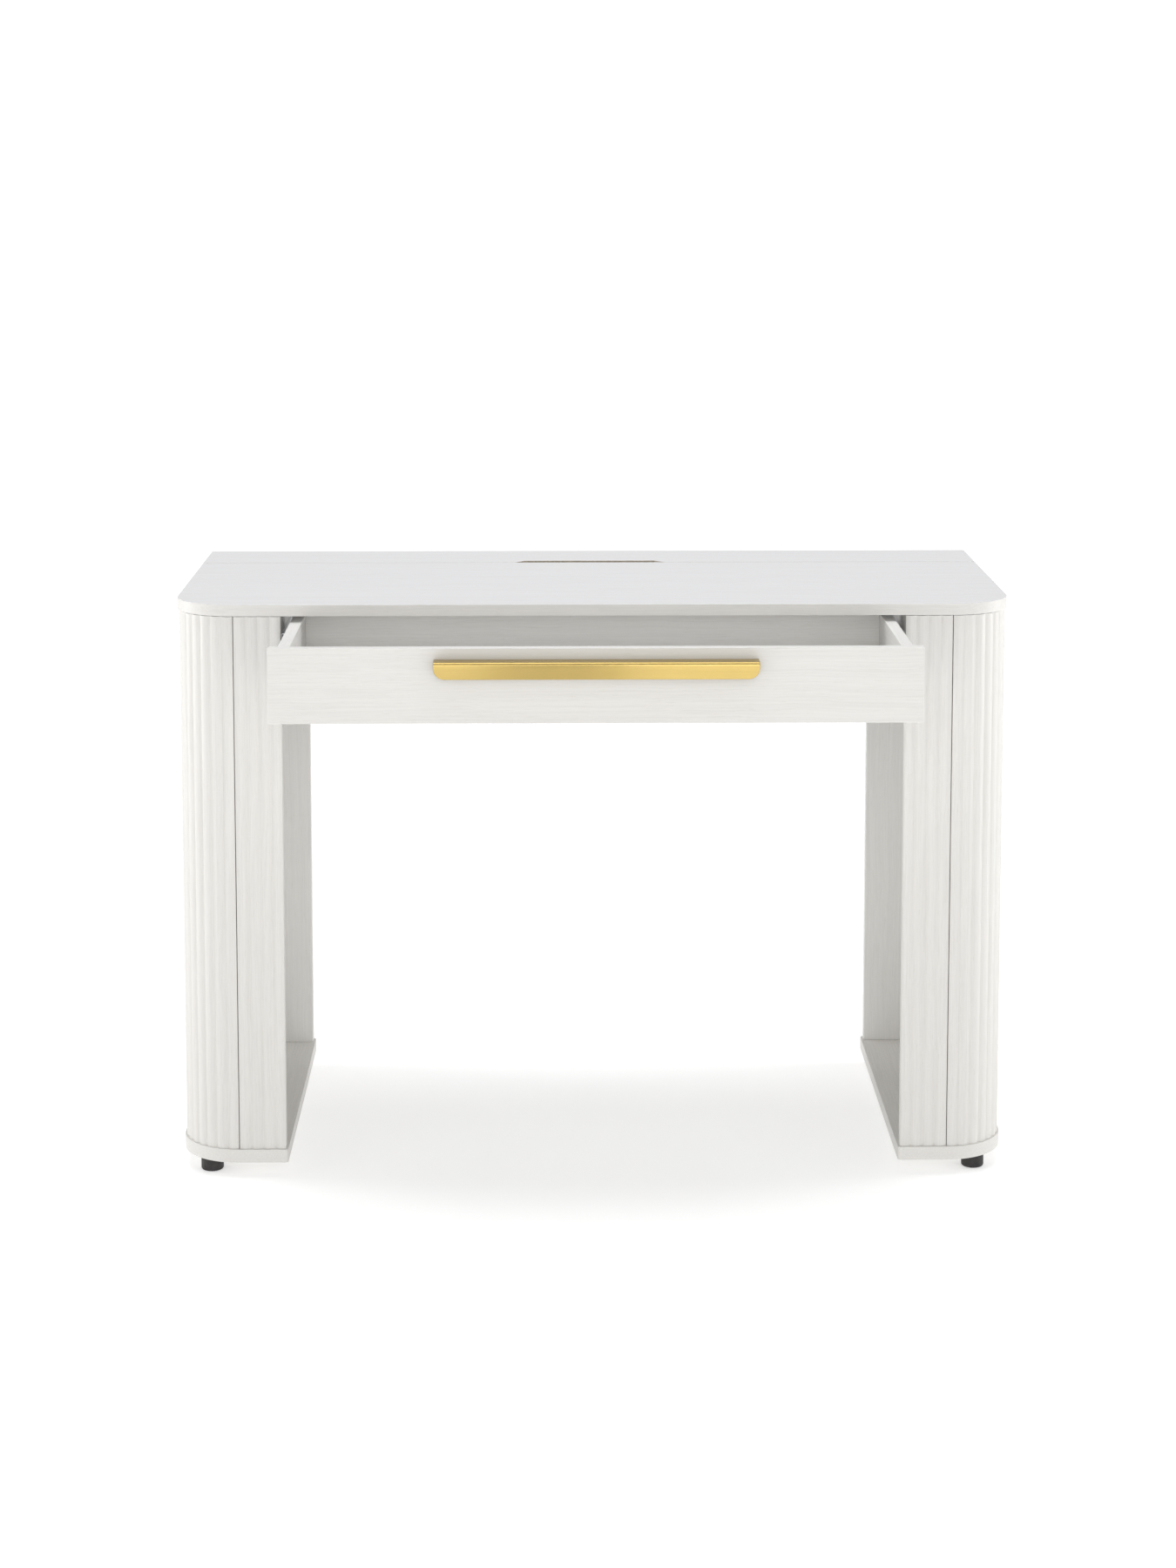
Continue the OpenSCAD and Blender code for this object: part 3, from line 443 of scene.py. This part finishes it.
def flap():
    """Rear flap with a shallow cable notch; its front edge and notch take dark particle board, painted
    shade in the seam and the notch.
    """
    def at_front(centre):
        return centre.y < front + 2 * depth

    notch_half = 106.5 * MM
    slope = 14 * MM
    depth = 16 * MM
    front = FLAP_LO.y
    back = FLAP_HI.y
    outline = [(notch_half, front), (FLAP_HI.x, front), (FLAP_HI.x, back), (FLAP_LO.x, back),
               (FLAP_LO.x, front), (-notch_half, front),
               (-notch_half + slope, front + depth), (notch_half - slope, front + depth)]
    bm = band_edges(prism(outline, FLAP_LO.z, FLAP_HI.z), "Z", at_front)
    finish_piece("cable_flap_board", bm, ["top", "across", "board"], ["flap_board"], FLAP_EDGE)


def reeded_shell(side):
    """Skin that wraps the corner: reeds of one pitch round the corner, then along the side."""
    def at(angle, radius):
        return (CORNER[0] + radius * sin(angle), CORNER[1] - radius * cos(angle))

    pitch_angle = REED_PITCH / CREST_R
    count = int(pi / 2 / pitch_angle)
    start = asin(SEAM_HALF / VALLEY_R)
    corner_rise = CREST_R - VALLEY_R * cos(pitch_angle / 2)
    outline = [at(asin(SEAM_HALF / SKIN_IN_R), SKIN_IN_R), at(start, VALLEY_R)]
    for i in range(count):
        a = outline[-1]
        outline += chord_arc(a, at((i + 1) * pitch_angle, VALLEY_R), corner_rise)
    bridge_y = CORNER[1] + REED_PITCH - (pi / 2 - count * pitch_angle) * CREST_R
    bridge_sag = CREST_R - (outline[-1][0] - CORNER[0] + VALLEY_R) / 2
    outline += chord_arc(outline[-1], (CORNER[0] + VALLEY_R, bridge_y), bridge_sag)
    reeds = round((SHELL_HI.y - bridge_y) / REED_PITCH)
    step = (SHELL_HI.y - bridge_y) / reeds
    for i in range(reeds):
        outline += chord_arc(outline[-1], (CORNER[0] + VALLEY_R, bridge_y + (i + 1) * step), REED_H)
    outline += [(CORNER[0] + SKIN_IN_R, SHELL_HI.y)]
    seam_angle = -degrees(pi / 2 - asin(SEAM_HALF / SKIN_IN_R))
    outline += arc(CORNER[0], CORNER[1], SKIN_IN_R, 0, seam_angle, 4)[:-1]
    word = "right" if side > 0 else "left"
    finish_piece(f"{word}_reeded_skin", prism(mirrored(outline, side), SHELL_LO.z, SHELL_HI.z),
                 ["upright"], [f"{word}_reeded_shell"], REED_EDGE, 2)


def front_stile(side):
    """Flat reeded board beside the drawer, with its last reed a little narrower."""
    valley_y = STILE_LO.y + REED_H
    whole_reeds = 4
    grooves = [CORNER[0] - i * REED_PITCH for i in range(whole_reeds)] + [STILE_LO.x]
    outline = [(STILE_LO.x, STILE_HI.y), (STILE_LO.x, valley_y)]
    for left, right in zip(grooves[:0:-1], grooves[-2::-1]):
        outline += chord_arc((left, valley_y), (min(right, STILE_HI.x), valley_y), REED_H)
    outline += [(STILE_HI.x, STILE_HI.y)]
    word = "right" if side > 0 else "left"
    finish_piece(f"{word}_reeded_stile", prism(mirrored(outline, side), STILE_LO.z, STILE_HI.z),
                 ["upright"], [f"{word}_front_stile"], REED_EDGE, 2)


def handle():
    """Bent sheet with a front lip whose lower corners are round, and a flange on the drawer."""
    sheet = 2.5 * MM
    bend = 4 * MM
    flange = 16 * MM
    lip_corner = 14 * MM
    over = 5 * MM
    x0, y0, z0 = HANDLE_LO
    x1, y1, z1 = HANDLE_HI
    section = [(y0 + sheet, z0), (y0 + sheet, z1 - bend)]
    section += arc(y0 + bend, z1 - bend, bend - sheet, 180, 90, 15)[1:]
    section += [(y1 - sheet, z1 - sheet), (y1 - sheet, z1 - flange), (y1, z1 - flange), (y1, z1)]
    section += arc(y0 + bend, z1 - bend, bend, 90, 180, 10)
    section += [(y0, z0)]
    outline = [(x0, z1 + over), (x0, z0 + lip_corner)]
    outline += arc(x0 + lip_corner, z0 + lip_corner, lip_corner, 180, 270)[1:]
    outline += arc(x1 - lip_corner, z0 + lip_corner, lip_corner, 270, 360) + [(x1, z1 + over)]
    bm = prism(section, x0, x1, "X")
    blank = bpy.data.meshes.new("lip_handle_blank")
    bm.to_mesh(blank)
    bm.free()
    cutter_bm = prism(outline, y0 - over, y1 + over, "Y")
    cutter_mesh = bpy.data.meshes.new("lip_handle_cutter")
    cutter_bm.to_mesh(cutter_mesh)
    cutter_bm.free()
    blank_object = bpy.data.objects.new("lip_handle_blank", blank)
    cutter = bpy.data.objects.new("lip_handle_cutter", cutter_mesh)
    for item in (blank_object, cutter):
        bpy.context.scene.collection.objects.link(item)
    cut = blank_object.modifiers.new("lip", "BOOLEAN")
    cut.operation = "INTERSECT"
    cut.solver = "EXACT"
    cut.object = cutter
    evaluated = blank_object.evaluated_get(bpy.context.evaluated_depsgraph_get())
    shaped = bpy.data.meshes.new_from_object(evaluated)
    for item in (blank_object, cutter):
        bpy.data.objects.remove(item)
    bm = bmesh.new()
    bm.from_mesh(shaped)
    bmesh.ops.remove_doubles(bm, verts=bm.verts, dist=0.01 * MM)
    finish_piece("lip_handle", bm, ["gold"], ["drawer_handle"], HANDLE_EDGE)


def drawer_front():
    """Plain front board, edged all round."""
    outline = [(FRONT_LO.x, FRONT_LO.z), (FRONT_HI.x, FRONT_LO.z),
               (FRONT_HI.x, FRONT_HI.z), (FRONT_LO.x, FRONT_HI.z)]
    bm = band_edges(prism(outline, FRONT_LO.y, FRONT_HI.y, "Y"), "Y")
    # Its edges take the lighter inner laminate: painted light on the edge band.
    finish_piece("drawer_front_board", bm, ["across", "inner_lifted_across"], ["drawer_front"], BOARD_EDGE)


def feet():
    """Turned glides with a rounded lower edge, one object for the four."""
    lo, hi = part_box("feet")
    radius = 15 * MM
    edge = 3 * MM
    sides = 48
    profile = [(radius - edge, lo.z)]
    profile += arc(radius - edge, lo.z + edge, edge, -90, 0, 15)[1:] + [(radius, hi.z)]
    bm = bmesh.new()
    for x in (lo.x + radius, hi.x - radius):
        for y in (lo.y + radius, hi.y - radius):
            rings = []
            for r, z in profile:
                turn = [2 * pi * i / sides for i in range(sides)]
                rings.append([bm.verts.new((x + r * cos(t), y + r * sin(t), z)) for t in turn])
            for low, high in zip(rings, rings[1:]):
                for i in range(sides):
                    j = (i + 1) % sides
                    bm.faces.new((low[i], low[j], high[j], high[i]))
            bm.faces.new(rings[0][::-1])
            bm.faces.new(rings[-1])
    finish_piece("glide_feet", bm, ["black_plastic"], ["feet"], FOOT_EDGE, 2)


def dress_cad_nodes():
    """Gives every CAD node that still shows its material, and eased edges on boards and plated steel."""
    soft_edges = {"laminate": 0.6 * MM, "board": 0.3 * MM, "zinc": 0.12 * MM}
    weld_gap = 0.005 * MM
    flat_angle = 0.3
    for name, node in NODES.items():
        if node.hide_render:
            continue
        slot = SLOT_OF[name]
        material = MATERIALS[LAMINATE_GRAIN[name] if slot == "laminate" else slot]
        for place in node.material_slots:
            place.material = material
        if slot in soft_edges:
            weld = node.modifiers.new("weld", "WELD")
            weld.merge_threshold = weld_gap
            flat = node.modifiers.new("flat_faces", "DECIMATE")
            flat.decimate_type = "DISSOLVE"
            flat.angle_limit = radians(flat_angle)
            ease(node, soft_edges[slot], 2)
            even = node.modifiers.new("even_faces", "WEIGHTED_NORMAL")
            even.weight = 100
            even.keep_sharp = False


# ---------------------------------------------------------------- studio

def floor():
    """Seamless pale floor that gives off light of its own, so that shadows on it stay faint; its glow is
    weaker near the table, painted shade round it.
    """
    bm = bmesh.new()
    half = 200.0
    corners = ((-half, -half, 0), (half, -half, 0), (half, half, 0), (-half, half, 0))
    bm.faces.new([bm.verts.new(corner) for corner in corners])
    mesh = bpy.data.meshes.new("studio_floor")
    bm.to_mesh(mesh)
    bm.free()
    plane = bpy.data.objects.new("studio_floor", mesh)
    bpy.context.scene.collection.objects.link(plane)
    material, shader, add, link = new_material("studio_paper")
    shader.inputs["Base Color"].default_value = (0.8, 0.8, 0.8, 1)
    shader.inputs["Roughness"].default_value = 0.9
    shader.inputs["Specular IOR Level"].default_value = 0.1
    shader.inputs["Emission Strength"].default_value = 1.0
    # The glow rises from 0.41 within 1 m of the origin to 0.80 from 5 m out: painted shade round the
    # table.
    length = add("ShaderNodeVectorMath", operation="LENGTH")
    link(add("ShaderNodeTexCoord").outputs["Object"], length.inputs[0])
    share = add("ShaderNodeMapRange")
    link(length.outputs["Value"], share.inputs["Value"])
    share.inputs["From Min"].default_value = 1.0
    share.inputs["From Max"].default_value = 5.0
    link(ramp(add, link, share.outputs[0], [(0.0, 0.41), (1.0, 0.80)]), shader.inputs["Emission Color"])
    mesh.materials.append(material)


def sky():
    """White surround for the camera, and a soft even surround for the light."""
    world = bpy.data.worlds.new("studio")
    bpy.context.scene.world = world
    world.use_nodes = True
    tree = world.node_tree
    background = tree.nodes["Background"]
    background.inputs["Color"].default_value = (1, 1, 1, 1)
    path = tree.nodes.new("ShaderNodeLightPath")
    strength = tree.nodes.new("ShaderNodeMix")
    strength.data_type = "FLOAT"
    strength.inputs[2].default_value = 0.40
    strength.inputs[3].default_value = 1.05
    tree.links.new(path.outputs["Is Camera Ray"], strength.inputs[0])
    tree.links.new(strength.outputs[0], background.inputs["Strength"])


def softbox(name, place, target, size, power, colour=(1, 1, 1)):
    """A rectangular light at place, turned to target; size in metres, power in watts."""
    light = bpy.data.lights.new(name, "AREA")
    light.shape = "RECTANGLE"
    light.size, light.size_y = size
    light.energy = power
    light.color = colour
    lamp = bpy.data.objects.new(name, light)
    lamp.location = place
    lamp.rotation_euler = (Vector(target) - Vector(place)).to_track_quat("-Z", "Y").to_euler()
    bpy.context.scene.collection.objects.link(lamp)


def lights():
    """A key box above the camera, low boxes and wing boxes beside it, side boxes and a top box."""
    softbox("softbox_key", (-0.05, -4.3, 2.20), (0, 0, 0.6), (1.6, 1.3), 19)
    softbox("softbox_low_left", (-0.86, -4.4, 1.00), (-0.3, 0, 0.6), (1.3, 1.5), 10)
    softbox("softbox_low_right", (0.78, -4.4, 1.00), (0.3, 0, 0.6), (1.3, 1.5), 13)
    softbox("softbox_wing_left", (-2.6, -3.4, 0.85), (0.2, 0, 0.4), (1.2, 1.5), 5)
    softbox("softbox_wing_right", (2.6, -3.4, 0.85), (-0.2, 0, 0.4), (1.2, 1.5), 5)
    softbox("softbox_left", (-3.0, 0.4, 1.0), (-0.4, 0, 0.5), (1.0, 2.2), 32)
    softbox("softbox_right", (3.0, 0.4, 1.0), (0.4, 0, 0.5), (1.0, 2.2), 30)
    softbox("softbox_top", (0.0, 0.0, 3.6), (0, 0, 0.7), (3.0, 2.4), 60, (0.97, 0.98, 1.0))


def camera():
    """A little above and left of the table; its shift leaves the uprights converging slightly."""
    tilt_down = 6.531
    turn_right = 0.753
    data = bpy.data.cameras.new("camera")
    data.lens = 70.21
    data.sensor_width = 36
    data.shift_y = -0.2
    eye = bpy.data.objects.new("camera", data)
    eye.location = (-0.059, -4.1843, 1.3960)
    eye.rotation_euler = Euler((radians(90 - tilt_down), 0, radians(-turn_right)))
    bpy.context.scene.collection.objects.link(eye)
    bpy.context.scene.camera = eye


camera()
tabletop()
flap()
for hand in (-1, 1):
    reeded_shell(hand)
    front_stile(hand)
handle()
drawer_front()
feet()
dress_cad_nodes()
floor()
sky()
lights()
bpy.context.scene.view_settings.view_transform = "Standard"
